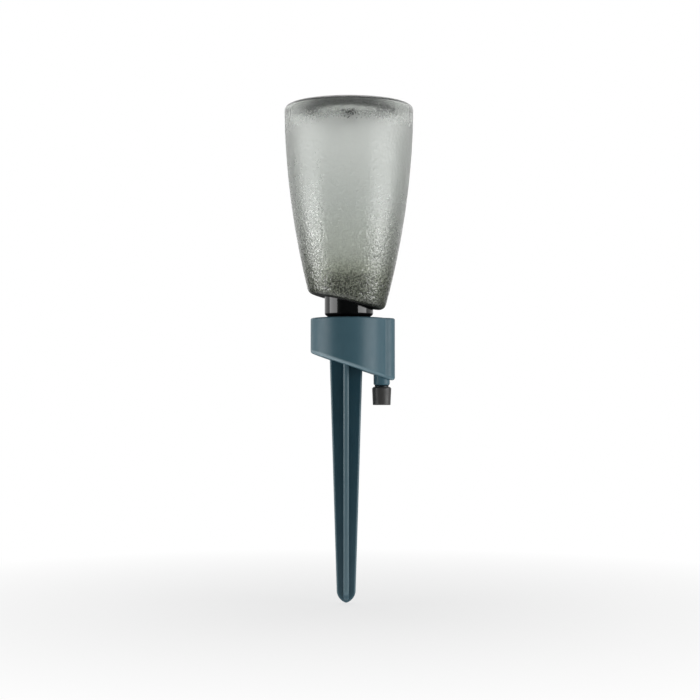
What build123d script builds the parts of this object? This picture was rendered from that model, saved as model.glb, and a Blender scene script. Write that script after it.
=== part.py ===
from build123d import *
import math
import os

# A drip waterer for a plant pot. A smoky bottle stands mouth down on a collar with a ground spike, and a
# screw knob under the collar sets how fast the water drips.
# Millimetres. +Z is up, +X runs from the spike to the knob, and the origin is on the spike's axis at the
# soil line.

# Clearances
running_gap = 0.3        # between pieces that move past each other
seat_gap = 0.05          # around pieces that are pushed together and stay there
face_gap = 0.15          # between flat faces that seal on each other and come apart

# Spike, a cross of two blades
spike_depth = 114.1      # soil line to point
spike_top_width = 20.6   # across a blade, at the collar's underside
spike_tip_width = 11.9   # across a blade, where the point begins
tip_rise = 6.8           # height of the rounded point
tip_arc_radius = 8.6
point_fillet = 2.0
cross_rise = 0.8         # point of the second blade over that of the first
blade_thickness = 3.6
blade_edge_fillet = 1.4
root_radius = 5.0        # round root that is pressed into the collar's floor
root_length = 8.0

# Drip knob and nozzle
nozzle_offset = 22.4     # nozzle axis from the spike's axis
outlet_height = 10.1     # soil line to the knob's mouth
knob_height = 11.5
knob_gap = 1.0           # between the knob and the stub over it
knob_top_radius = 6.1
knob_end_radius = 5.6
knob_rim_chamfer = 0.9
knob_end_fillet = 0.5
knob_floor = 2.6
knob_ledge = 0.9         # step inside the knob that carries the needle's foot
ledge_width = 1.2
knob_travel = 0.8        # each way from rest
outlet_radius = 2.0
nipple_radius = 4.4
nozzle_bore_radius = 2.1
nozzle_barrel_radius = 3.6
nozzle_barrel_length = 12.0
orifice_radius = 1.3
orifice_length = 1.8
washer_thickness = 0.6
knob_ring_radius = 0.5   # half the cord of the ring
knob_ring_height = 2.7   # ring over the nozzle's lower end
needle_foot = 1.0
needle_pin_height = 1.6
needle_cone_height = 2.0
needle_point_radius = 0.3
needle_port_radius = 0.7
needle_port_count = 4

# Collar
lobe_radius = 24.2       # round end about the bottle's axis
nose_radius = 8.4        # narrow nose about the nozzle's axis
nose_blend = 3.0         # hollow round between the two
collar_height = 29.5     # on the spike's axis
collar_slope = 18.7      # degrees, down towards the knob
collar_wall = 2.0
collar_top_fillet = 1.0
deck_thickness = 2.5
floor_thickness = 2.7
floor_fillet = 1.9
floor_lip = 3.0          # height of the lip that locates the floor inside the shell
floor_lip_wall = 1.4
boss_wall = 1.8
stub_radius = 5.15
stub_length = 5.2        # on the nozzle's axis
stub_chamfer = 0.75

# Neck fitting, which joins the bottle to the collar
bottle_offset = 1.7      # bottle axis from the spike's axis
fitting_radius = 15.35
fitting_wall = 2.0
fitting_flange = 2.4
fitting_rise = 7.1       # flange to the bottle's underside, on the bottle's axis
fitting_insert = 15.8    # the part inside the bottle, on the bottle's axis
fitting_shoulder = 5.2   # height of the plain part inside the bottle
spigot_radius = 11.8
spigot_wall = 2.4
spigot_length = 15.0     # below the collar's top
socket_overrun = 1.5     # of the collar's tube past the spigot
gasket_rise = 2.9        # collar top to the flange
gasket_edge = 0.6
gasket_foot_width = 0.4
gasket_inset = 0.25
spigot_ring_radius = 0.65
spigot_ring_drop = 8.0   # below the collar's top
ring_groove_extra = 0.1

# Screw thread between the neck fitting and the bottle
thread_pitch = 4.0
thread_turns = 1.5
thread_start = 7.0       # over the bottle's underside, on its axis
thread_depth = 1.1
ridge_root_width = 1.7
ridge_crest_width = 0.9
ridge_bite = 0.3

# Bottle
bottle_height = 124.8    # on its axis
bottle_wall = 1.8
bottle_slope = 13.3      # degrees, down towards the knob
rim_radius = 40.95
middle_radius = 36.4
foot_radius = 21.3
foot_drop = 9.2          # below the underside on the axis, where the foot radius is measured
rim_fillet = 3.0
underside_fillet = 4.0
dish_radius = 28.4
dish_depth = 3.0
dish_edge_fillet = 1.0
sleeve_wall = 1.5
lip_thickness = 1.5
mouth_washer_thickness = 1.1
mouth_washer_width = 2.2

# Vent plug in the middle of the dish
plug_radius = 3.4
plug_head_radius = 5.0
plug_head_height = 1.8
plug_head_fillet = 0.5
plug_stem_extra = 2.2    # past the inside of the wall
vent_radius = 0.6

# Heights and planes that follow from these
knob_top_z = outlet_height + knob_height
stub_end_z = knob_top_z + knob_gap
slope_rise = math.tan(math.radians(collar_slope))
floor_z = stub_end_z + stub_length + nozzle_offset * slope_rise
collar_top_z = floor_z + collar_height
flange_z = collar_top_z + gasket_rise
underside_z = flange_z + fitting_rise
bottle_top_z = underside_z + bottle_height
fitting_top_z = underside_z + fitting_insert
spigot_end_z = collar_top_z - spigot_length
mouth_z = fitting_top_z + mouth_washer_thickness + 2 * face_gap
sleeve_radius = fitting_radius + running_gap
thread_core_radius = fitting_radius - running_gap - thread_depth
socket_radius = spigot_radius + running_gap

collar_normal = (math.sin(math.radians(collar_slope)), 0, math.cos(math.radians(collar_slope)))
floor_plane = Plane(origin=(0, 0, floor_z), z_dir=collar_normal)
seam_plane = floor_plane.offset(floor_thickness)
bottle_normal = (math.sin(math.radians(bottle_slope)), 0, math.cos(math.radians(bottle_slope)))
bottle_plane = Plane(origin=(bottle_offset, 0, underside_z), z_dir=bottle_normal)
bottle_axis = Axis((bottle_offset, 0, 0), (0, 0, 1))
bottle_section = Plane(origin=(bottle_offset, 0, 0), x_dir=(1, 0, 0), z_dir=(0, -1, 0))
nozzle_axis = Axis((nozzle_offset, 0, 0), (0, 0, 1))
nozzle_section = Plane(origin=(nozzle_offset, 0, 0), x_dir=(1, 0, 0), z_dir=(0, -1, 0))


def collar_block(inset, top_z):
    """Upright block with the collar's plan, drawn in by an inset and reaching below the collar."""
    with BuildPart() as block:
        with BuildSketch(Plane.XY.offset(top_z)) as plan:
            with Locations((bottle_offset, 0)):
                Circle(lobe_radius - inset)
            with Locations((nozzle_offset, 0)):
                Circle(nose_radius - inset)
            fillet(plan.vertices().sort_by(Axis.X)[:2], nose_blend + inset)
        extrude(amount=-(top_z - outlet_height))
    return block.part


def column(x, radius, low_z, high_z):
    """Upright round bar."""
    with BuildPart() as bar:
        with BuildSketch(Plane.XY.offset(low_z)):
            with Locations((x, 0)):
                Circle(radius)
        extrude(amount=high_z - low_z)
    return bar.part


def ring(axis, section, centre_radius, cord_radius, height):
    """Round seal of round cord."""
    with BuildPart() as cord:
        with BuildSketch(section):
            with Locations((centre_radius, height)):
                Circle(cord_radius)
        revolve(axis=axis)
    return cord.part


def bottle_form(inset):
    """Outside of the bottle without its sleeve, drawn in by an inset."""
    top_z = bottle_top_z - inset
    low_z = underside_z - foot_drop
    with BuildPart() as form:
        with BuildSketch(bottle_section):
            with BuildLine():
                side = ThreePointArc(
                    (rim_radius - inset, top_z),
                    (middle_radius - inset, underside_z + bottle_height / 2),
                    (foot_radius - inset, low_z),
                )
                Line(side @ 1, (0, low_z))
                Line((0, low_z), (0, top_z - dish_depth))
                dish = TangentArc((0, top_z - dish_depth), (dish_radius, top_z), tangent=(1, 0))
                Line(dish @ 1, side @ 0)
            make_face()
        revolve(axis=bottle_axis)
        split(bisect_by=bottle_plane.offset(inset), keep=Keep.TOP)
        fillet(form.faces().filter_by(bottle_plane).edges(), underside_fillet - inset)
        for place, radius in ((-1, rim_fillet - inset), (0, dish_edge_fillet)):
            circles = form.edges().filter_by(GeomType.CIRCLE).group_by(Axis.Z)[-1]
            fillet(circles.sort_by(SortBy.RADIUS)[place], radius)
    return form.part


def thread_ridge(root, crest, start_z):
    """Helical ridge of the screw thread, between its radii at the root and the crest."""
    with BuildPart() as ridge:
        with BuildLine() as coil:
            Helix(
                pitch=thread_pitch,
                height=thread_pitch * thread_turns,
                radius=root,
                center=(bottle_offset, 0, start_z),
            )
        path = coil.line
        with BuildSketch(Plane(origin=path @ 0, x_dir=(1, 0, 0), z_dir=path % 0)):
            Polygon(
                (0, -ridge_root_width / 2),
                (crest - root, -ridge_crest_width / 2),
                (crest - root, ridge_crest_width / 2),
                (0, ridge_root_width / 2),
                align=None,
            )
        sweep(path=path, is_frenet=True)
    return ridge.part


def blade(plane, depth):
    """One flat blade of the spike with rounded edges, drawn a little past the collar's underside."""
    low_z = tip_rise - depth
    spread = (spike_top_width - spike_tip_width) / 2 / (floor_z - low_z)
    high_z = floor_z + spike_top_width * slope_rise
    top_half = spike_tip_width / 2 + spread * (high_z - low_z)
    with BuildPart() as plate:
        with BuildSketch(plane) as plate_sketch:
            with BuildLine():
                Line((0, high_z), (top_half, high_z))
                Line((top_half, high_z), (spike_tip_width / 2, low_z))
                RadiusArc((spike_tip_width / 2, low_z), (0, -depth), tip_arc_radius)
                Line((0, -depth), (0, high_z))
            outline = make_face()
            mirror(outline, about=Plane.YZ)
            fillet(plate_sketch.vertices().sort_by(Axis.Y)[:3], point_fillet)
        extrude(amount=blade_thickness / 2, both=True)
        flanks = plate.faces().sort_by(SortBy.AREA)[-2:]
        fillet(flanks.edges().sort_by(Axis.Z)[:-2], blade_edge_fillet)
    return plate.part


# Collar shell: round wall with a nose, flat deck and the tube that takes the spigot
collar_outer = collar_block(0, collar_top_z)
collar_inner = collar_block(collar_wall, collar_top_z - deck_thickness)
socket_end_z = spigot_end_z - socket_overrun
with BuildPart() as collar_shell:
    add(collar_outer)
    split(bisect_by=seam_plane, keep=Keep.TOP)
    fillet(collar_shell.edges().group_by(Axis.Z)[-1], collar_top_fillet)
    add(collar_inner, mode=Mode.SUBTRACT)
    add(column(bottle_offset, socket_radius + collar_wall, socket_end_z, collar_top_z - deck_thickness))
    add(column(bottle_offset, socket_radius, socket_end_z, collar_top_z), mode=Mode.SUBTRACT)

# Floor plate: sloping underside with a locating lip, the spike's socket and the stub for the nozzle
root_top_z = floor_z + root_length
lip_outer = collar_block(collar_wall + seat_gap, collar_top_z)
lip_inner = collar_block(collar_wall + seat_gap + floor_lip_wall, collar_top_z)
with BuildPart() as floor_lip_ring:
    add(lip_outer)
    add(lip_inner, mode=Mode.SUBTRACT)
    split(bisect_by=seam_plane.offset(floor_lip), keep=Keep.BOTTOM)
    split(bisect_by=floor_plane.offset(floor_thickness / 2), keep=Keep.TOP)
with BuildPart() as spike_boss:
    add(column(0, root_radius + boss_wall, stub_end_z, root_top_z + boss_wall))
    split(bisect_by=floor_plane.offset(floor_thickness / 2), keep=Keep.TOP)
barrel_top_z = stub_end_z + nozzle_barrel_length
with BuildPart() as floor_plate:
    add(collar_outer)
    split(bisect_by=seam_plane, keep=Keep.BOTTOM)
    split(bisect_by=floor_plane, keep=Keep.TOP)
    fillet(floor_plate.faces().filter_by(floor_plane).sort_by(Axis.Z)[0].edges(), floor_fillet)
    add(floor_lip_ring.part)
    add(spike_boss.part)
    add(column(nozzle_offset, stub_radius, stub_end_z, barrel_top_z))
    chamfer(floor_plate.faces().sort_by(Axis.Z)[0].edges(), stub_chamfer)
    add(column(0, root_radius + seat_gap, stub_end_z, root_top_z), mode=Mode.SUBTRACT)
    add(
        column(nozzle_offset, nozzle_barrel_radius + seat_gap, stub_end_z, barrel_top_z),
        mode=Mode.SUBTRACT,
    )

# Spike: two crossed blades under the floor and a round root in it
with BuildPart() as spike_root:
    add(column(0, root_radius, stub_end_z, root_top_z - seat_gap))
    split(bisect_by=floor_plane.offset(-seat_gap), keep=Keep.TOP)
with BuildPart() as spike:
    add(blade(Plane.XZ, spike_depth))
    add(blade(Plane.YZ, spike_depth - cross_rise))
    split(bisect_by=floor_plane.offset(-seat_gap), keep=Keep.BOTTOM)
    add(spike_root.part)

# Drip nozzle: barrel in the stub, nipple for the knob, and a small orifice at its lower end
shoulder_z = stub_end_z - washer_thickness
needle_foot_z = outlet_height + knob_floor + knob_ledge
needle_top_z = needle_foot_z + needle_foot
nozzle_end_z = needle_top_z + knob_travel + running_gap
knob_ring_z = nozzle_end_z + knob_ring_height
knob_bore_radius = nipple_radius + running_gap
knob_ring_centre = knob_bore_radius - face_gap - knob_ring_radius
knob_groove_depth = nipple_radius - knob_ring_centre + knob_ring_radius + seat_gap
with BuildPart() as drip_nozzle:
    add(column(nozzle_offset, nipple_radius, nozzle_end_z, shoulder_z))
    add(column(nozzle_offset, nozzle_barrel_radius, shoulder_z, barrel_top_z))
    add(
        column(nozzle_offset, nozzle_bore_radius, nozzle_end_z + orifice_length, barrel_top_z),
        mode=Mode.SUBTRACT,
    )
    add(column(nozzle_offset, orifice_radius, nozzle_end_z, barrel_top_z), mode=Mode.SUBTRACT)
    with BuildSketch(nozzle_section):
        with Locations((nipple_radius - knob_groove_depth / 2, knob_ring_z)):
            Rectangle(knob_groove_depth, 2 * (knob_ring_radius + ring_groove_extra))
    revolve(axis=nozzle_axis, mode=Mode.SUBTRACT)

with BuildPart() as nozzle_washer:
    add(column(nozzle_offset, nipple_radius, shoulder_z, stub_end_z))
    add(
        column(nozzle_offset, nozzle_barrel_radius + seat_gap, shoulder_z, stub_end_z),
        mode=Mode.SUBTRACT,
    )

with BuildPart() as knob_ring:
    add(ring(nozzle_axis, nozzle_section, knob_ring_centre, knob_ring_radius, knob_ring_z))

# Metering needle: a ported foot on the knob's ledge and a pointed pin in the orifice
pin_radius = orifice_radius - running_gap
cone_z = needle_top_z + needle_pin_height
needle_foot_radius = knob_bore_radius - seat_gap
port_ring_radius = (pin_radius + knob_bore_radius - ledge_width) / 2
with BuildPart() as metering_needle:
    with BuildSketch(nozzle_section):
        with BuildLine():
            Polyline(
                (0, needle_foot_z),
                (needle_foot_radius, needle_foot_z),
                (needle_foot_radius, needle_top_z),
                (pin_radius, needle_top_z),
                (pin_radius, cone_z),
                (needle_point_radius, cone_z + needle_cone_height),
                (0, cone_z + needle_cone_height),
                close=True,
            )
        make_face()
    revolve(axis=nozzle_axis)
    with BuildSketch(Plane.XY.offset(needle_foot_z)):
        with Locations((nozzle_offset, 0)):
            with PolarLocations(port_ring_radius, needle_port_count):
                Circle(needle_port_radius)
    extrude(amount=needle_foot, mode=Mode.SUBTRACT)

# Flow knob: tapered cup, open below through the outlet
with BuildPart() as flow_knob:
    with BuildSketch(nozzle_section):
        with BuildLine():
            Polyline(
                (0, outlet_height),
                (knob_end_radius, outlet_height),
                (knob_top_radius, knob_top_z),
                (0, knob_top_z),
                close=True,
            )
        make_face()
    revolve(axis=nozzle_axis)
    chamfer(flow_knob.edges().group_by(Axis.Z)[-1], knob_rim_chamfer)
    fillet(flow_knob.edges().group_by(Axis.Z)[0], knob_end_fillet)
    add(column(nozzle_offset, knob_bore_radius, needle_foot_z, knob_top_z), mode=Mode.SUBTRACT)
    add(
        column(nozzle_offset, knob_bore_radius - ledge_width, outlet_height + knob_floor, needle_foot_z),
        mode=Mode.SUBTRACT,
    )
    add(column(nozzle_offset, outlet_radius, outlet_height, needle_foot_z), mode=Mode.SUBTRACT)

# Neck fitting: spigot in the collar, flange, plain neck and the screw thread inside the bottle
thread_z = underside_z + thread_start
shoulder_top_z = underside_z + fitting_shoulder
cup_z = flange_z + fitting_flange
male_ridge = thread_ridge(thread_core_radius - ridge_bite, thread_core_radius + thread_depth, thread_z)
spigot_ring_z = collar_top_z - spigot_ring_drop
spigot_ring_centre = socket_radius - face_gap - spigot_ring_radius
spigot_groove_depth = spigot_radius - spigot_ring_centre + spigot_ring_radius + seat_gap
with BuildPart() as neck_fitting:
    add(column(bottle_offset, fitting_radius, flange_z, shoulder_top_z))
    add(column(bottle_offset, thread_core_radius, shoulder_top_z, fitting_top_z))
    add(column(bottle_offset, spigot_radius, spigot_end_z, flange_z))
    add(column(bottle_offset, thread_core_radius - fitting_wall, cup_z, fitting_top_z), mode=Mode.SUBTRACT)
    add(column(bottle_offset, spigot_radius - spigot_wall, spigot_end_z, cup_z), mode=Mode.SUBTRACT)
    add(male_ridge)
    with BuildSketch(bottle_section):
        with Locations((spigot_radius - spigot_groove_depth / 2, spigot_ring_z)):
            Rectangle(spigot_groove_depth, 2 * (spigot_ring_radius + ring_groove_extra))
    revolve(axis=bottle_axis, mode=Mode.SUBTRACT)

gasket_in = spigot_radius + seat_gap
gasket_low_z = collar_top_z + face_gap
with BuildPart() as neck_gasket:
    with BuildSketch(bottle_section):
        with BuildLine():
            Polyline(
                (gasket_in, gasket_low_z),
                (gasket_in + gasket_foot_width, gasket_low_z),
                (fitting_radius - gasket_inset, flange_z - gasket_edge),
                (fitting_radius - gasket_inset, flange_z),
                (gasket_in, flange_z),
                close=True,
            )
        make_face()
    revolve(axis=bottle_axis)

with BuildPart() as spigot_ring:
    add(ring(bottle_axis, bottle_section, spigot_ring_centre, spigot_ring_radius, spigot_ring_z))

# Mouth washer, between the end of the neck fitting and the lip inside the bottle
washer_low_z = fitting_top_z + face_gap
washer_high_z = washer_low_z + mouth_washer_thickness
mouth_radius = thread_core_radius - mouth_washer_width
with BuildPart() as mouth_washer:
    add(column(bottle_offset, thread_core_radius, washer_low_z, washer_high_z))
    add(
        column(bottle_offset, mouth_radius, washer_low_z, washer_high_z),
        mode=Mode.SUBTRACT,
    )

# Bottle: tapered shell, threaded sleeve with a lip, dished top with the vent hole
female_ridge = thread_ridge(
    sleeve_radius + ridge_bite,
    sleeve_radius - thread_depth,
    thread_z + thread_pitch / 2,
)
with BuildPart() as bottle_sleeve:
    add(column(bottle_offset, sleeve_radius + sleeve_wall, flange_z, mouth_z + lip_thickness))
    split(bisect_by=bottle_plane, keep=Keep.TOP)
plug_hole_radius = plug_radius + running_gap
dish_z = bottle_top_z - dish_depth
with BuildPart() as bottle:
    add(bottle_form(0))
    add(bottle_form(bottle_wall), mode=Mode.SUBTRACT)
    add(bottle_sleeve.part)
    add(column(bottle_offset, sleeve_radius, flange_z, mouth_z), mode=Mode.SUBTRACT)
    add(
        column(bottle_offset, mouth_radius, mouth_z, mouth_z + lip_thickness),
        mode=Mode.SUBTRACT,
    )
    add(female_ridge)
    add(
        column(bottle_offset, plug_hole_radius, dish_z - 2 * bottle_wall, bottle_top_z),
        mode=Mode.SUBTRACT,
    )

# Vent plug: round head in the dish, stem through the wall and an air hole
head_z = dish_z + running_gap
stem_end_z = dish_z - bottle_wall - plug_stem_extra
with BuildPart() as vent_plug:
    add(column(bottle_offset, plug_head_radius, head_z, head_z + plug_head_height))
    fillet(vent_plug.edges().group_by(Axis.Z)[-1], plug_head_fillet)
    add(column(bottle_offset, plug_radius, stem_end_z, head_z))
    add(
        column(bottle_offset, vent_radius, stem_end_z, head_z + plug_head_height),
        mode=Mode.SUBTRACT,
    )

pieces = {
    "collar_shell": collar_shell,
    "floor_plate": floor_plate,
    "spike": spike,
    "drip_nozzle": drip_nozzle,
    "nozzle_washer": nozzle_washer,
    "knob_ring": knob_ring,
    "metering_needle": metering_needle,
    "flow_knob": flow_knob,
    "neck_fitting": neck_fitting,
    "neck_gasket": neck_gasket,
    "spigot_ring": spigot_ring,
    "mouth_washer": mouth_washer,
    "bottle": bottle,
    "vent_plug": vent_plug,
}
os.makedirs("parts", exist_ok=True)
for label, piece in pieces.items():
    piece.part.label = label
    export_step(piece.part, f"parts/{label}.step")
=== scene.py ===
import bpy
import math
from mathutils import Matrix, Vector


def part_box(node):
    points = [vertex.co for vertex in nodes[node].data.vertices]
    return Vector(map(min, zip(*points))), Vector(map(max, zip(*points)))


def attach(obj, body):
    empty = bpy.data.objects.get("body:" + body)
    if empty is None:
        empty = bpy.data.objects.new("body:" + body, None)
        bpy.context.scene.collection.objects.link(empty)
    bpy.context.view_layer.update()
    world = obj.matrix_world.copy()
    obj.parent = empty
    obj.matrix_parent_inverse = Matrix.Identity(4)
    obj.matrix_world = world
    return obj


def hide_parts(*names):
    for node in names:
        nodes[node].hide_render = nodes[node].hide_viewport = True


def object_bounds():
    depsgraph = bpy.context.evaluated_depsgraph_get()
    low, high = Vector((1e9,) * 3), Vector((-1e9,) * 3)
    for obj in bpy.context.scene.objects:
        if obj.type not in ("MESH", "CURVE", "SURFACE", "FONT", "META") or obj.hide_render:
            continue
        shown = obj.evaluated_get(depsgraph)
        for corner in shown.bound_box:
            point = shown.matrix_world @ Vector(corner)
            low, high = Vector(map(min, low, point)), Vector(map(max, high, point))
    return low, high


# Drip waterer: a smoky pebbled bottle, mouth down on a blue-grey collar with a ground spike and a drip knob.
# Metres. The camera looks along +Y, and the knob is to the right, at +X.

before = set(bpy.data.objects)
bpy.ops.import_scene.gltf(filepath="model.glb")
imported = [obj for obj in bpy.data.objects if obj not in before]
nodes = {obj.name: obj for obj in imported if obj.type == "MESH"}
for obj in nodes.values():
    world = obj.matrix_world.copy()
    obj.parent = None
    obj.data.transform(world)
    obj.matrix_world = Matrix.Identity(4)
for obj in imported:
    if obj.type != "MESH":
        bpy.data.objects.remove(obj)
cad_low, cad_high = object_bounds()
bottle_low, bottle_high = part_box("bottle")
scene = bpy.context.scene

MM = 0.001

# Camera
camera_x = 2.4 * MM
camera_distance = 998.6 * MM
camera_height = 10.1 * MM
aim_height = 44.9 * MM
camera_lens = 81.3
camera_sensor = 36.0

# Bottle: places of the CAD solid that the pebbled outside is drawn on
bottle_x = 1.7 * MM
bottle_slope = math.radians(13.3)
underside_z = 74.88 * MM      # on the bottle's axis
sleeve_reach = 17.6 * MM
sleeve_start = 0.3 * MM       # over the underside
vent_zone = 10 * MM           # under the rim
dish_reach = 30.5 * MM
dish_radius = 28.4 * MM
dish_depth = 3.0 * MM
foot_radius = 25.2 * MM
foot_rise = 3.6 * MM
side_bulge = 3.2 * MM

# Cage of the pebbled outside: crown rings by radius and drop under the rim, foot rings by radius and rise
crown_rings = (
    (3.7 * MM, 2.95 * MM),
    (15.5 * MM, 2.2 * MM),
    (27.4 * MM, 0.3 * MM),
    (30.5 * MM, 0.0),
    (37.5 * MM, 0.0),
    (40.1 * MM, 1.0 * MM),
    (40.8 * MM, 3.6 * MM),
)
foot_rings = ((24.2 * MM, 1.2 * MM), (21.6 * MM, 0), (18.2 * MM, 0), (15.65 * MM, 0))
cage_segments = 96
cage_levels = 2
side_rings = 40
merge_gap = 0.002 * MM
crease_angle = math.radians(40)

# Pebbles on the bottle
pebble_size = 1.7 * MM
pebble_depth = 0.30 * MM
smooth_edge = 3.0 * MM
smooth_foot = 0.2             # bare start of the foot's edge, as a share of it

# Smoky plastic: tints by level, which is 0 at the bottle's lowest point and 1 at its rim
smoke_tints = (
    (0.0, (0.50, 0.53, 0.42)),
    (0.06, (0.64, 0.68, 0.54)),
    (0.13, (0.84, 0.88, 0.72)),
    (0.25, (0.945, 0.975, 0.91)),
    (0.5, (0.945, 0.97, 0.945)),
    (0.80, (0.97, 0.985, 0.97)),
    (0.88, (0.98, 0.99, 0.98)),
    (1.0, (0.90, 0.915, 0.90)),
)
# Painted shade in the furrows between the pebbles
furrow_shade_tint = (0.10, 0.11, 0.08)
# Painted shade in dark specks
shade_speck_tint = (0.05, 0.06, 0.04)
edge_tint = (0.08, 0.09, 0.07)
# Painted shade in the dish ring and on the rim
crown_shade_tint = (0.075, 0.08, 0.08)
# Painted shade on the slanted underside
underside_shade_tint = (0.03, 0.03, 0.03)
inner_smoke = (0.50, 0.55, 0.48, 1)
inner_density = 90.0
smoke_ior = 1.46
glaze_roughness = 0.08
speck_size = 1.1 * MM
speck_depth = 0.22 * MM
glint_size = 0.85 * MM
patch_size = 6 * MM

# Smoky plastic: where a finish starts and where it is full, or the other way round
# The dish ring, dish skin and rim masks below place the crown's painted shade
dish_ring_inner = (18.5 * MM, 24 * MM)     # from the axis
dish_ring_outer = (dish_reach - 2 * MM, dish_reach)
dish_skin = (1.0 * MM, 0.5 * MM)           # under the dish
rim_skin = (1.6 * MM, 0.4 * MM)            # under the rim
rim_corner = (31 * MM, 36 * MM)            # from the axis
rim_sides = (18 * MM, 33 * MM)             # aside from the middle
# Where the painted shade specks reach up the sides
shade_speck_sides = (8 * MM, 18 * MM)
glint_sides = (8 * MM, 16 * MM)
glint_left_to_right = (-6 * MM, 6 * MM)
underside_skin = (0.1 * MM, 0.9 * MM)      # over the underside

# Moulded plastic
cloud_size = 14 * MM
smear_size = 5 * MM

# Collar: its sloping underside, on the spike's axis
collar_slope = math.radians(18.7)
collar_floor_z = 35.38 * MM
# Painted light on the collar's lower rounded edge: where it lies and its tint
collar_edge_low = (0.05 * MM, 0.25 * MM)   # over the underside
collar_edge_high = (1.4 * MM, 2.4 * MM)
collar_left_to_right = (-8 * MM, 24 * MM)
collar_edge_light_tint = (0.22, 0.31, 0.35)

# Spike: half widths of a blade and where they are
spike_tip_half = 5.95 * MM
spike_top_half = 10.3 * MM
spike_tip_z = -107.3 * MM
spike_top_z = 37 * MM
# Painted light on the outer edges of the blades: where it lies, and its tint
spike_edge = (-1.2 * MM, -0.4 * MM)        # from a blade's half width
spike_edge_light_tint = (0.082, 0.145, 0.174)

# Studio: each side lamp has a name, an azimuth, a width, a power and the level of the sheen painted on the
# floor under it
ambient_level = 0.05
front_level = 0.04
back_level = 0.85
front_to_back = (-0.75, 0.1)  # Y of a direction where the dim front ends and the bright back starts
softbox_reach = 0.85
softbox_height = 0.5
softbox_level = -0.02
side_lamps = (("left_softbox", -80, 0.73, 4.1, 3.3), ("right_softbox", 67, 0.71, 5.3, 2.2))
top_place = (0, 0.2, 1.1)
top_aim = (0, 0, 0.06)
top_size = 0.8
top_power = 5.0
floor_gap = 0.6 * MM
floor_radius = 4.0
floor_segments = 96
floor_tint = (0.86, 0.86, 0.86, 1)
sheen_blur = 0.08
white = (1, 1, 1, 1)

# Sockets of a colour Mix node
MIX_FIRST = 6
MIX_SECOND = 7
MIX_RESULT = 2


def deselect():
    """Nothing selected."""
    bpy.ops.object.select_all(action="DESELECT")


def activate(piece):
    """One piece selected and active."""
    deselect()
    piece.select_set(True)
    bpy.context.view_layer.objects.active = piece


def apply_modifiers(piece):
    """All modifiers of a piece applied in order."""
    activate(piece)
    for name in [modifier.name for modifier in piece.modifiers]:
        bpy.ops.object.modifier_apply(modifier=name)


def link(tree, source, target):
    """One socket linked to another."""
    tree.links.new(source, target)


def noise(tree, place, size, detail=2.0, roughness=0.5):
    """Noise whose grains are about size metres across."""
    node = tree.nodes.new("ShaderNodeTexNoise")
    node.inputs["Scale"].default_value = 1 / size
    node.inputs["Detail"].default_value = detail
    node.inputs["Roughness"].default_value = roughness
    link(tree, place, node.inputs["Vector"])
    return node.outputs["Fac"]


def ramp(tree, factor, stops):
    """Colours blended along a factor, as (position, colour) stops."""
    node = tree.nodes.new("ShaderNodeValToRGB")
    band = node.color_ramp
    while len(band.elements) < len(stops):
        band.elements.new(0.5)
    for element, (position, colour) in zip(band.elements, stops):
        element.position = position
        element.color = (*colour, 1)
    link(tree, factor, node.inputs["Fac"])
    return node.outputs["Color"]


def spread(tree, factor, low, high, from_low=0.3, from_high=0.7):
    """A number that goes from low to high while a factor goes from from_low to from_high."""
    node = tree.nodes.new("ShaderNodeMapRange")
    node.inputs["From Min"].default_value = from_low
    node.inputs["From Max"].default_value = from_high
    node.inputs["To Min"].default_value = low
    node.inputs["To Max"].default_value = high
    link(tree, factor, node.inputs["Value"])
    return node.outputs["Result"]


def combine(tree, operation, first, *others):
    """Changing factors combined into one."""
    node = tree.nodes.new("ShaderNodeMath")
    node.operation = operation
    for socket, factor in zip(node.inputs, (first, *others)):
        link(tree, factor, socket)
    return node.outputs["Value"]


def product(tree, first, *others):
    """Changing factors multiplied."""
    for factor in others:
        first = combine(tree, "MULTIPLY", first, factor)
    return first


def larger(tree, first, second):
    """The larger of two changing factors."""
    return combine(tree, "MAXIMUM", first, second)


def smaller(tree, first, second):
    """The smaller of two changing factors."""
    return combine(tree, "MINIMUM", first, second)


def vector(tree, operation, place, other=None):
    """Outputs of vector maths on a place, alone or with a constant vector."""
    node = tree.nodes.new("ShaderNodeVectorMath")
    node.operation = operation
    link(tree, place, node.inputs[0])
    if other is not None:
        node.inputs[1].default_value = other
    return node.outputs


def axes_of(tree, place):
    """The X, Y and Z of a place."""
    node = tree.nodes.new("ShaderNodeSeparateXYZ")
    link(tree, place, node.inputs["Vector"])
    return node.outputs


def blend_colours(tree, factor, first, second):
    """Colour between a changing one and a constant one."""
    node = tree.nodes.new("ShaderNodeMix")
    node.data_type = "RGBA"
    link(tree, factor, node.inputs["Factor"])
    link(tree, first, node.inputs[MIX_FIRST])
    node.inputs[MIX_SECOND].default_value = (*second, 1)
    return node.outputs[MIX_RESULT]


def relief(tree, height, depth, strength=None):
    """Bump of a depth in metres, in full or where a factor makes it strong."""
    node = tree.nodes.new("ShaderNodeBump")
    node.inputs["Strength"].default_value = 1.0
    node.inputs["Distance"].default_value = depth
    link(tree, height, node.inputs["Height"])
    if strength is not None:
        link(tree, strength, node.inputs["Strength"])
    return node.outputs["Normal"]


def object_place(tree):
    """The object's own coordinates."""
    return tree.nodes.new("ShaderNodeTexCoord").outputs["Object"]


def empty_material(name):
    """Material with one principled shader, its node tree and the object's own coordinates."""
    material = bpy.data.materials.new(name)
    material.use_nodes = True
    tree = material.node_tree
    return material, tree, tree.nodes["Principled BSDF"], object_place(tree)


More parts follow.
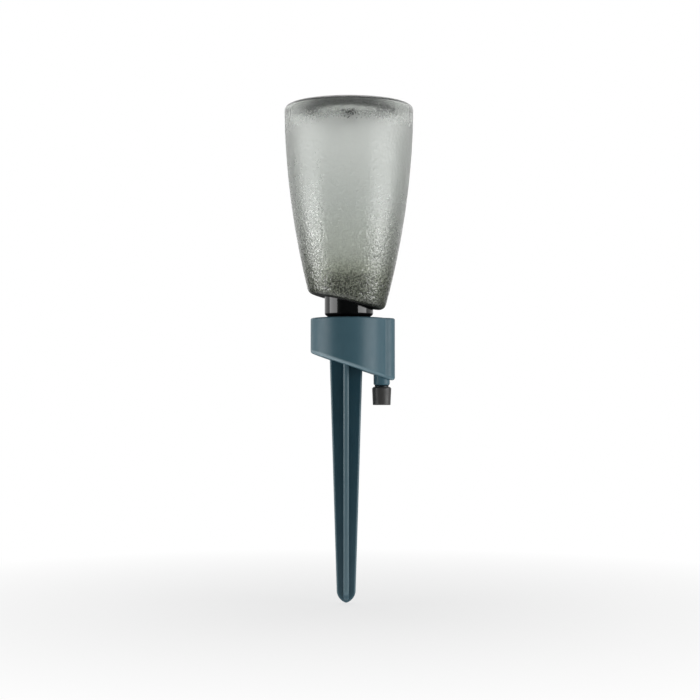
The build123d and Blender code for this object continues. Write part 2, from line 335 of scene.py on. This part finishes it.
def moulded_plastic(name, dark, light, rough, shine, grain, grain_depth, painted_light_above=None):
    """Opaque moulded plastic: cloudy tint, uneven gloss, fine mould grain, and, if given, painted light above
    a given height.
    """
    material, tree, shader, place = empty_material(name)
    shader.inputs["Specular IOR Level"].default_value = shine
    cloud = noise(tree, place, cloud_size, 3.0)
    tint = ramp(tree, cloud, [(0.3, dark), (0.7, light)])
    if painted_light_above is not None:
        start, end, painted_light_tint = painted_light_above
        above = spread(tree, axes_of(tree, place)["Z"], 0, 1, start, end)
        tint = blend_colours(tree, above, tint, painted_light_tint)
    link(tree, tint, shader.inputs["Base Color"])
    smear = noise(tree, place, smear_size, 4.0, 0.6)
    link(tree, spread(tree, smear, *rough), shader.inputs["Roughness"])
    fine = noise(tree, place, grain, 2.0)
    link(tree, relief(tree, fine, grain_depth), shader.inputs["Normal"])
    return material


def tint_over(material, factor, tint):
    """A constant tint laid over a material's own where a factor is high."""
    tree = material.node_tree
    target = tree.nodes["Principled BSDF"].inputs["Base Color"]
    plain = target.links[0].from_socket
    link(tree, blend_colours(tree, factor, plain, tint), target)


def paint_spike_edge_light(material):
    """Painted light on the outer edges of the spike's blades, for the light their edges catch from the side
    lamps.
    """
    tree = material.node_tree
    place = object_place(tree)
    flank = spread(tree, axes_of(tree, place)["Z"], spike_tip_half, spike_top_half, spike_tip_z, spike_top_z)
    sides = axes_of(tree, vector(tree, "ABSOLUTE", place)["Vector"])
    reach = combine(tree, "SUBTRACT", larger(tree, sides["X"], sides["Y"]), flank)
    tint_over(material, spread(tree, reach, 0, 1, *spike_edge), spike_edge_light_tint)


def paint_collar_edge_light(material):
    """Painted light on the rounded edge of the collar's sloping underside, for the light it catches from
    below, less towards the knob.
    """
    tree = material.node_tree
    place = object_place(tree)
    rise = vector(tree, "DOT_PRODUCT", place, (math.tan(collar_slope), 0, 1))["Value"]
    over_floor = spread(tree, rise, 0, 1, *[collar_floor_z + step for step in collar_edge_low])
    under_wall = spread(tree, rise, 1, 0, *[collar_floor_z + step for step in collar_edge_high])
    off_knob = spread(tree, axes_of(tree, place)["X"], 1, 0.25, *collar_left_to_right)
    tint_over(material, product(tree, over_floor, under_wall, off_knob), collar_edge_light_tint)


class BottleSpot:
    """Where a point of the bottle is: across, up, up as a level, aside from the middle, and from the axis."""

    def __init__(self, tree, place):
        axes = axes_of(tree, place)
        self.across = axes["X"]
        self.height = axes["Z"]
        self.level = spread(tree, self.height, 0, 1, bottle_low.z, bottle_high.z)
        self.aside = combine(tree, "ABSOLUTE", self.across)
        flat = tree.nodes.new("ShaderNodeCombineXYZ")
        link(tree, axes["X"], flat.inputs["X"])
        link(tree, axes["Y"], flat.inputs["Y"])
        self.reach = vector(tree, "DISTANCE", flat.outputs["Vector"], (bottle_x, 0, 0))["Value"]


def furrows(tree, spot):
    """Painted shade in the furrows between the pebbles, which shows in the lower third."""
    valley = tree.nodes.new("ShaderNodeAttribute")
    valley.attribute_name = "valley"
    furrow = spread(tree, valley.outputs["Fac"], 0, 1, 0.30, 0.75)
    low_down = spread(tree, spot.level, 0.35, 0.0, 0.05, 0.36)
    return product(tree, furrow, low_down)


def specks(tree, spot, fine):
    """Painted shade in dark specks, all round the lower end and further up on both sides."""
    low_down = spread(tree, spot.level, 0.75, 0.0, 0.12, 0.62)
    on_sides = spread(tree, spot.aside, 0.2, 1.0, *shade_speck_sides)
    lower_end = spread(tree, spot.level, 0.80, 0.0, 0.10, 0.30)
    coarse = larger(tree, product(tree, low_down, on_sides), lower_end)
    return product(tree, spread(tree, fine, 1, 0, 0.44, 0.56), coarse)


def thick_edges(tree, spot):
    """Edges where the wall is seen on the slant, deepest at the lower end and faint at the top."""
    facing = tree.nodes.new("ShaderNodeLayerWeight").outputs["Facing"]
    slanted = spread(tree, facing, 0, 1, 0.28, 0.52)
    off_outline = spread(tree, facing, 1, 0.3, 0.75, 0.95)
    low_down = spread(tree, spot.level, 0.68, 0.24, 0.06, 0.42)
    under_top = spread(tree, spot.level, 1.0, 0.1, 0.62, 0.84)
    return product(tree, slanted, off_outline, low_down, under_top)


def crown(tree, spot):
    """Painted shade in a dark ring in the dish and on the rim round it, which is paler at the sides."""
    inside_rim = spread(tree, spot.reach, 1, 0, *dish_ring_outer)
    off_middle = spread(tree, spot.reach, 0, 1, *dish_ring_inner)
    sag = spread(tree, product(tree, spot.reach, spot.reach), 0, dish_depth, 0, dish_radius ** 2)
    over_dish = combine(tree, "SUBTRACT", spot.height, sag)
    dish_floor = bottle_high.z - dish_depth
    on_dish = spread(tree, over_dish, 0, 1, *[dish_floor - drop for drop in dish_skin])
    in_dish = product(tree, inside_rim, off_middle, on_dish)
    at_top = spread(tree, spot.height, 0, 1, *[bottle_high.z - drop for drop in rim_skin])
    off_corner = spread(tree, spot.reach, 1, 0.9, *rim_corner)
    off_sides = spread(tree, spot.aside, 1, 0.2, *rim_sides)
    return larger(tree, in_dish, product(tree, at_top, off_corner, off_sides))


def slanted_underside(tree, place):
    """The bottle's slanted underside."""
    rise = vector(tree, "DOT_PRODUCT", place, (math.tan(bottle_slope), 0, 1))["Value"]
    underside = underside_z + bottle_x * math.tan(bottle_slope)
    return spread(tree, rise, 1, 0, *[underside + step for step in underside_skin])


def glints(tree, spot, place):
    """Smooth grains that glint, all round the lower end and in patches on both sides, the left one more."""
    patch = spread(tree, noise(tree, place, patch_size, 2.0), -0.15, 0.15, 0.25, 0.75)
    patchy = combine(tree, "ADD", spot.level, patch)
    low_down = spread(tree, patchy, 1.0, 0.3, 0.35, 0.70)
    on_sides = spread(tree, spot.aside, 0, 1, *glint_sides)
    more_left = spread(tree, spot.across, 1.0, 0.75, *glint_left_to_right)
    lower_end = spread(tree, spot.level, 1.0, 0.0, 0.12, 0.30)
    where = larger(tree, product(tree, low_down, on_sides, more_left), lower_end)
    grains = spread(tree, noise(tree, place, glint_size, 0.0), 0, 0.34, 0.46, 0.58)
    return product(tree, where, grains)


def haze(tree, spot, fine):
    """Roughness of the bottle's wall, which clears raggedly towards the crown."""
    ragged = combine(tree, "ADD", spot.level, spread(tree, fine, -0.04, 0.04, 0.2, 0.8))
    wall = spread(tree, spot.level, 0.56, 0.40, 0.10, 0.80)
    clear_crown = spread(tree, ragged, 0.56, 0.16, 0.84, 0.93)
    return smaller(tree, wall, clear_crown)


def clearness(tree, spot, crown_shade_mask):
    """How much light the bottle lets through: more towards the top, little under the crown's painted shade.
    """
    lower = spread(tree, spot.level, 0.76, 0.86, 0.10, 0.35)
    upper = spread(tree, spot.level, 0.80, 0.93, 0.60, 0.80)
    off_crown_shade = spread(tree, crown_shade_mask, 0.97, 0.20, 0, 1)
    return smaller(tree, larger(tree, lower, upper), off_crown_shade)


def smoky_plastic():
    """Clear smoky bottle plastic with a glaze on its lower half, a matte underside, and painted shade in its
    furrows, specks, crown and underside.
    """
    material, tree, shader, place = empty_material("smoky_bottle_plastic")
    spot = BottleSpot(tree, place)
    fine = noise(tree, place, speck_size, 0.0)
    crown_shade_mask = crown(tree, spot)
    under = slanted_underside(tree, place)
    tint = ramp(tree, spot.level, smoke_tints)
    # Tints laid over the smoke: painted shade in the furrows, specks, crown and underside, and the darker
    # slanted edges
    for factor, over_tint in (
        (furrows(tree, spot), furrow_shade_tint),
        (specks(tree, spot, fine), shade_speck_tint),
        (thick_edges(tree, spot), edge_tint),
        (crown_shade_mask, crown_shade_tint),
        (under, underside_shade_tint),
    ):
        tint = blend_colours(tree, factor, tint, over_tint)
    link(tree, tint, shader.inputs["Base Color"])
    link(tree, clearness(tree, spot, crown_shade_mask), shader.inputs["Transmission Weight"])
    shader.inputs["IOR"].default_value = smoke_ior

    grain = relief(tree, fine, speck_depth, spread(tree, spot.level, 1.0, 0.1, 0.35, 0.85))
    link(tree, grain, shader.inputs["Normal"])
    link(tree, grain, shader.inputs["Coat Normal"])
    wall = combine(tree, "SUBTRACT", haze(tree, spot, fine), glints(tree, spot, place))
    matte = spread(tree, under, 0, 0.9, 0, 1)
    link(tree, larger(tree, wall, matte), shader.inputs["Roughness"])
    low_glaze = spread(tree, spot.level, 0.60, 0.02, 0.35, 0.65)
    off_underside = spread(tree, under, 1, 0, 0, 1)
    link(tree, product(tree, low_glaze, off_underside), shader.inputs["Coat Weight"])
    shader.inputs["Coat Roughness"].default_value = glaze_roughness

    smoke_depth = tree.nodes.new("ShaderNodeVolumeAbsorption")
    smoke_depth.inputs["Color"].default_value = inner_smoke
    smoke_depth.inputs["Density"].default_value = inner_density
    link(tree, smoke_depth.outputs["Volume"], tree.nodes["Material Output"].inputs["Volume"])
    return material


def dress(material, *names):
    """CAD nodes that take a finish."""
    for name in names:
        slots = nodes[name].data.materials
        slots.clear()
        slots.append(material)


slate = moulded_plastic(
    "satin_slate_collar", dark=(0.053, 0.120, 0.153), light=(0.061, 0.132, 0.168),
    rough=(0.36, 0.46), shine=0.33, grain=0.35 * MM, grain_depth=0.012 * MM)
# The spike's plastic is drawn darker than the collar's: painted shade, for blades that face the dark front
spike_blue = moulded_plastic(
    "satin_spike_blue", dark=(0.015, 0.058, 0.082), light=(0.021, 0.069, 0.095),
    rough=(0.32, 0.42), shine=0.40, grain=0.35 * MM, grain_depth=0.012 * MM)
knob_grey = moulded_plastic(
    "satin_knob_grey", dark=(0.045, 0.044, 0.043), light=(0.055, 0.054, 0.053),
    rough=(0.36, 0.48), shine=0.40, grain=0.30 * MM, grain_depth=0.012 * MM)
# Painted light: the neck fitting is drawn pale above where it enters the bottle, for the light round it
# inside the bottle
neck_black = moulded_plastic(
    "polished_neck_black", dark=(0.0030, 0.0038, 0.0038), light=(0.0045, 0.0055, 0.0056),
    rough=(0.06, 0.12), shine=0.50, grain=1.2 * MM, grain_depth=0.002 * MM,
    painted_light_above=(79.5 * MM, 82.5 * MM, (0.42, 0.46, 0.34)))
nozzle_dark = moulded_plastic(
    "satin_nozzle_dark", dark=(0.013, 0.026, 0.030), light=(0.018, 0.032, 0.036),
    rough=(0.36, 0.46), shine=0.40, grain=0.30 * MM, grain_depth=0.010 * MM)
rubber = moulded_plastic(
    "matte_black_rubber", dark=(0.0015, 0.0015, 0.0025), light=(0.0025, 0.0025, 0.0035),
    rough=(0.60, 0.72), shine=0.10, grain=0.25 * MM, grain_depth=0.020 * MM)
smoke = smoky_plastic()

paint_spike_edge_light(spike_blue)
paint_collar_edge_light(slate)

dress(slate, "collar_shell", "floor_plate")
dress(spike_blue, "spike")
dress(knob_grey, "flow_knob")
dress(neck_black, "neck_fitting")
dress(nozzle_dark, "drip_nozzle", "metering_needle")
dress(rubber, "neck_gasket", "nozzle_washer", "knob_ring", "spigot_ring", "mouth_washer", "vent_plug")


def over_underside(place):
    """Height of a point over the bottle's slanted underside."""
    return place.z - underside_z + (place.x - bottle_x) * math.tan(bottle_slope)


def from_axis(place):
    """Distance of a point from the bottle's axis."""
    return math.hypot(place.x - bottle_x, place.y)


def is_outside(centre, normal):
    """Whether a face of the bottle is on its skin, not in the cavity, the sleeve or the vent hole."""
    heart = Vector((bottle_x, 0, (bottle_low.z + bottle_high.z) / 2))
    low_inside = centre.z < heart.z and over_underside(centre) > sleeve_start
    in_sleeve = low_inside and from_axis(centre) < sleeve_reach
    return not in_sleeve and normal.dot(centre - heart) > 0


def half_of_bottle(name, outside):
    """Copy of the CAD bottle's skin, or of everything inside it."""
    activate(nodes["bottle"])
    bpy.ops.object.duplicate()
    piece = bpy.context.object
    piece.name = name
    bpy.ops.object.mode_set(mode="EDIT")
    bpy.ops.mesh.select_all(action="SELECT")
    bpy.ops.mesh.remove_doubles(threshold=merge_gap)
    bpy.ops.mesh.select_all(action="DESELECT")
    bpy.ops.object.mode_set(mode="OBJECT")
    for face in piece.data.polygons:
        face.select = is_outside(face.center, face.normal) != outside
    bpy.ops.object.mode_set(mode="EDIT")
    bpy.ops.mesh.delete(type="FACE")
    bpy.ops.object.mode_set(mode="OBJECT")
    return piece


def next_ring(last, radius, height, tilt):
    """One more ring of the cage in edit mode, extruded from the last one."""
    old_radius, old_height, old_tilt = last
    centre = (bottle_x, 0, height)
    bpy.ops.mesh.extrude_region_move(TRANSFORM_OT_translate={"value": (0, 0, height - old_height)})
    bpy.ops.transform.resize(value=(radius / old_radius,) * 3, center_override=centre)
    bpy.ops.transform.rotate(value=old_tilt - tilt, orient_axis="Y", center_override=centre)
    return radius, height, tilt


def ring_cage():
    """Open cage of rings from the vent hole over the dish and the rim, down the side and in to the sleeve."""
    places = [(radius, bottle_high.z - drop) for radius, drop in crown_rings]
    last = (*places[0], 0)
    deselect()
    bpy.ops.mesh.primitive_circle_add(vertices=cage_segments, radius=last[0], location=(bottle_x, 0, last[1]))
    cage = bpy.context.object
    cage.name = "pebbled_bottle"
    bpy.ops.object.transform_apply(location=True, rotation=True, scale=True)
    bpy.ops.object.mode_set(mode="EDIT")
    bpy.ops.mesh.select_all(action="SELECT")
    for radius, height in places[1:]:
        last = next_ring(last, radius, height, 0)
    rim_radius, rim_height, _ = last
    for step in range(1, side_rings + 1):
        share = step / side_rings
        radius = rim_radius + (foot_radius - rim_radius) * share + side_bulge * 4 * share * (1 - share)
        height = rim_height + (underside_z + foot_rise - rim_height) * share
        last = next_ring(last, radius, height, bottle_slope * share)
    for radius, rise in foot_rings:
        last = next_ring(last, radius, underside_z + rise, bottle_slope)
    bpy.ops.object.mode_set(mode="OBJECT")
    return cage


def wrap_on(piece, skin):
    """A cage made finer and laid on a skin."""
    finer = piece.modifiers.new("finer", "SUBSURF")
    finer.levels = cage_levels
    finer.render_levels = cage_levels
    wrap = piece.modifiers.new("wrap", "SHRINKWRAP")
    wrap.target = skin
    wrap.wrap_method = "NEAREST_SURFACEPOINT"
    apply_modifiers(piece)


def raise_pebbles(piece):
    """Pebbles on the bottle's side, smooth at rim and foot, with their furrows in the attribute valley."""
    group = piece.vertex_groups.new(name="pebbled")
    rim_floor = bottle_high.z - smooth_edge
    for point in piece.data.vertices:
        under_rim = (rim_floor - point.co.z) / smooth_edge
        over_foot = over_underside(point.co) / smooth_edge - smooth_foot
        group.add([point.index], max(0.0, min(1.0, under_rim, over_foot)), "REPLACE")
    pebbles = bpy.data.textures.new("pebbles", "VORONOI")
    pebbles.noise_scale = pebble_size
    raised = piece.modifiers.new("raised", "DISPLACE")
    raised.texture = pebbles
    raised.texture_coords = "LOCAL"
    raised.vertex_group = group.name
    raised.strength = -pebble_depth
    raised.mid_level = 0.5
    smooth_places = [point.co.copy() for point in piece.data.vertices]
    apply_modifiers(piece)
    sinks = [(smooth - point.co).dot(point.normal) / pebble_depth
             for smooth, point in zip(smooth_places, piece.data.vertices)]
    deepest = max(sinks)
    highest = min(sinks)
    valley = piece.data.attributes.new("valley", "FLOAT", "POINT")
    valley.data.foreach_set("value", [(sink - highest) / (deepest - highest) for sink in sinks])


def bridge(piece, chosen):
    """Strip of faces between the two open edges of a piece that a test of place picks."""
    activate(piece)
    bpy.ops.object.mode_set(mode="EDIT")
    bpy.ops.mesh.select_mode(type="EDGE")
    bpy.ops.mesh.select_all(action="DESELECT")
    bpy.ops.mesh.select_non_manifold(extend=False, use_wire=False, use_boundary=True, use_multi_face=False,
                                     use_non_contiguous=False, use_verts=False)
    bpy.ops.object.mode_set(mode="OBJECT")
    points = piece.data.vertices
    for edge in piece.data.edges:
        edge.select = edge.select and chosen(points[edge.vertices[0]].co)
    bpy.ops.object.mode_set(mode="EDIT")
    bpy.ops.mesh.bridge_edge_loops()
    bpy.ops.object.mode_set(mode="OBJECT")


def pebbled_bottle():
    """The bottle with a pebbled outside, joined to the CAD bottle's own inside, sleeve and vent hole."""
    skin = half_of_bottle("bottle_skin", True)
    inside = half_of_bottle("bottle_inside", False)
    piece = ring_cage()
    wrap_on(piece, skin)
    bpy.data.objects.remove(skin)
    raise_pebbles(piece)

    activate(piece)
    inside.select_set(True)
    bpy.ops.object.join()
    bridge(piece, lambda place: place.z > bottle_high.z - vent_zone)
    bridge(piece, lambda place: place.z < bottle_high.z - vent_zone)
    bpy.ops.object.mode_set(mode="EDIT")
    bpy.ops.mesh.select_all(action="SELECT")
    bpy.ops.mesh.normals_make_consistent(inside=False)
    bpy.ops.object.mode_set(mode="OBJECT")
    bpy.ops.object.shade_smooth_by_angle(angle=crease_angle)
    piece.data.materials.clear()
    piece.data.materials.append(smoke)
    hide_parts("bottle")
    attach(piece, "bottle")


pebbled_bottle()


def background(tree, strength):
    """White surroundings of a strength, which is a socket or a constant."""
    node = tree.nodes.new("ShaderNodeBackground")
    node.inputs["Color"].default_value = white
    if isinstance(strength, float):
        node.inputs["Strength"].default_value = strength
    else:
        link(tree, strength, node.inputs["Strength"])
    return node.outputs["Background"]


def mix_shaders(tree, factor, first, second):
    """One shader over another where a factor is high."""
    node = tree.nodes.new("ShaderNodeMixShader")
    link(tree, factor, node.inputs["Fac"])
    link(tree, first, node.inputs[1])
    link(tree, second, node.inputs[2])
    return node.outputs["Shader"]


def studio_world():
    """White surroundings for camera, reflections and clear plastic, dim in front, with even fill light."""
    world = bpy.data.worlds.new("studio")
    world.use_nodes = True
    tree = world.node_tree
    tree.nodes.remove(tree.nodes["Background"])
    path = tree.nodes.new("ShaderNodeLightPath")
    direction = tree.nodes.new("ShaderNodeTexCoord").outputs["Generated"]
    back = axes_of(tree, direction)["Y"]
    mirrored = spread(tree, back, front_level, back_level, *front_to_back)
    seen_through = spread(tree, back, front_level, 1.0, *front_to_back)
    surface = background(tree, ambient_level)
    for ray, strength in (
        ("Is Glossy Ray", mirrored),
        ("Is Transmission Ray", seen_through),
        ("Is Camera Ray", 1.0),
    ):
        surface = mix_shaders(tree, path.outputs[ray], surface, background(tree, strength))
    link(tree, surface, tree.nodes["World Output"].inputs["Surface"])
    scene.world = world


def lamp_direction(azimuth):
    """Level direction from the part to a lamp, which is in front at 0 degrees and to the right at 90."""
    turn = math.radians(azimuth)
    return math.sin(turn), -math.cos(turn), 0


def softbox(name, place, aim, width, height, power):
    """Large soft lamp that faces a point and doesn't show through the bottle."""
    lamp = bpy.data.lights.new(name, "AREA")
    lamp.shape = "RECTANGLE"
    lamp.size = width
    lamp.size_y = height
    lamp.energy = power
    holder = bpy.data.objects.new(name, lamp)
    scene.collection.objects.link(holder)
    holder.location = place
    holder.visible_transmission = False
    holder.rotation_euler = (Vector(aim) - Vector(place)).to_track_quat("-Z", "Y").to_euler()


def mirrored_floor(tree, place, distance):
    """Painted level of the floor's glow in reflections: bright at the part and in painted sheens under the
    side lamps, dim elsewhere.
    """
    direction = vector(tree, "NORMALIZE", place)["Vector"]
    back = axes_of(tree, direction)["Y"]
    dim_front = spread(tree, back, front_level, back_level, *front_to_back)
    dim_behind = spread(tree, back, 1.0, 0.15, 0.1, 0.5)
    far_off = spread(tree, distance, 0.1, 1.0, 0.7, 2.8)
    at_part = spread(tree, distance, 1.0, 0.0, 0.22, 0.50)
    level = larger(tree, product(tree, dim_front, dim_behind, far_off), at_part)
    for _, azimuth, width, _, sheen_level in side_lamps:
        half = math.atan(width / 2 / softbox_reach)
        towards = vector(tree, "DOT_PRODUCT", direction, lamp_direction(azimuth))["Value"]
        outer_edge = math.cos(half + sheen_blur)
        inner_edge = math.cos(half - sheen_blur)
        sheen = spread(tree, towards, 0, sheen_level, outer_edge, inner_edge)
        off_part = spread(tree, distance, 0.25, 1.0, 0.4, 1.1)
        level = larger(tree, level, product(tree, sheen, off_part))
    return level


def floor_finish():
    """White that keeps the part's soft shadow close by, fades into the background, and glows: it throws light
    up near the part and shows painted sheens in reflections.
    """
    material = bpy.data.materials.new("pale_floor")
    material.use_nodes = True
    tree = material.node_tree
    tree.nodes.remove(tree.nodes["Principled BSDF"])
    lit = tree.nodes.new("ShaderNodeBsdfDiffuse")
    lit.inputs["Color"].default_value = floor_tint
    glow = tree.nodes.new("ShaderNodeEmission")
    path = tree.nodes.new("ShaderNodeLightPath").outputs
    place = object_place(tree)
    distance = vector(tree, "LENGTH", place)["Value"]
    strength = tree.nodes.new("ShaderNodeMix")
    strength.inputs["A"].default_value = 1.0
    link(tree, path["Is Glossy Ray"], strength.inputs["Factor"])
    link(tree, mirrored_floor(tree, place, distance), strength.inputs["B"])
    link(tree, strength.outputs["Result"], glow.inputs["Strength"])
    shown = larger(tree, path["Is Camera Ray"], path["Is Transmission Ray"])
    faded = spread(tree, distance, 0.72, 1.0, 0.12, 0.4)
    thrown = spread(tree, distance, 1.0, 0.0, 0.30, 0.80)
    seen = larger(tree, product(tree, faded, shown), product(tree, thrown, path["Is Diffuse Ray"]))
    seen = larger(tree, seen, path["Is Glossy Ray"])
    surface = mix_shaders(tree, seen, lit.outputs["BSDF"], glow.outputs["Emission"])
    link(tree, surface, tree.nodes["Material Output"].inputs["Surface"])
    return material


def pale_floor():
    """Round white floor just under the spike's point."""
    deselect()
    bpy.ops.mesh.primitive_circle_add(vertices=floor_segments, radius=floor_radius, fill_type="NGON",
                                      location=(0, 0, cad_low.z - floor_gap))
    floor = bpy.context.object
    floor.name = "pale_floor"
    bpy.ops.object.transform_apply(location=True, rotation=True, scale=True)
    floor.data.materials.append(floor_finish())


studio_world()
pale_floor()
for name, azimuth, width, power, _ in side_lamps:
    across, along, _ = lamp_direction(azimuth)
    place = (softbox_reach * across, softbox_reach * along, softbox_level)
    softbox(name, place, (0, 0, softbox_level), width, softbox_height, power)
softbox("top_softbox", top_place, top_aim, top_size, top_size, top_power)

camera_data = bpy.data.cameras.new("camera")
camera_data.lens = camera_lens
camera_data.sensor_width = camera_sensor
camera = bpy.data.objects.new("camera", camera_data)
scene.collection.objects.link(camera)
camera.location = (camera_x, -camera_distance, camera_height)
aim = Vector((camera_x, 0, aim_height))
camera.rotation_euler = (aim - camera.location).to_track_quat("-Z", "Y").to_euler()
scene.camera = camera

scene.view_settings.view_transform = "Standard"
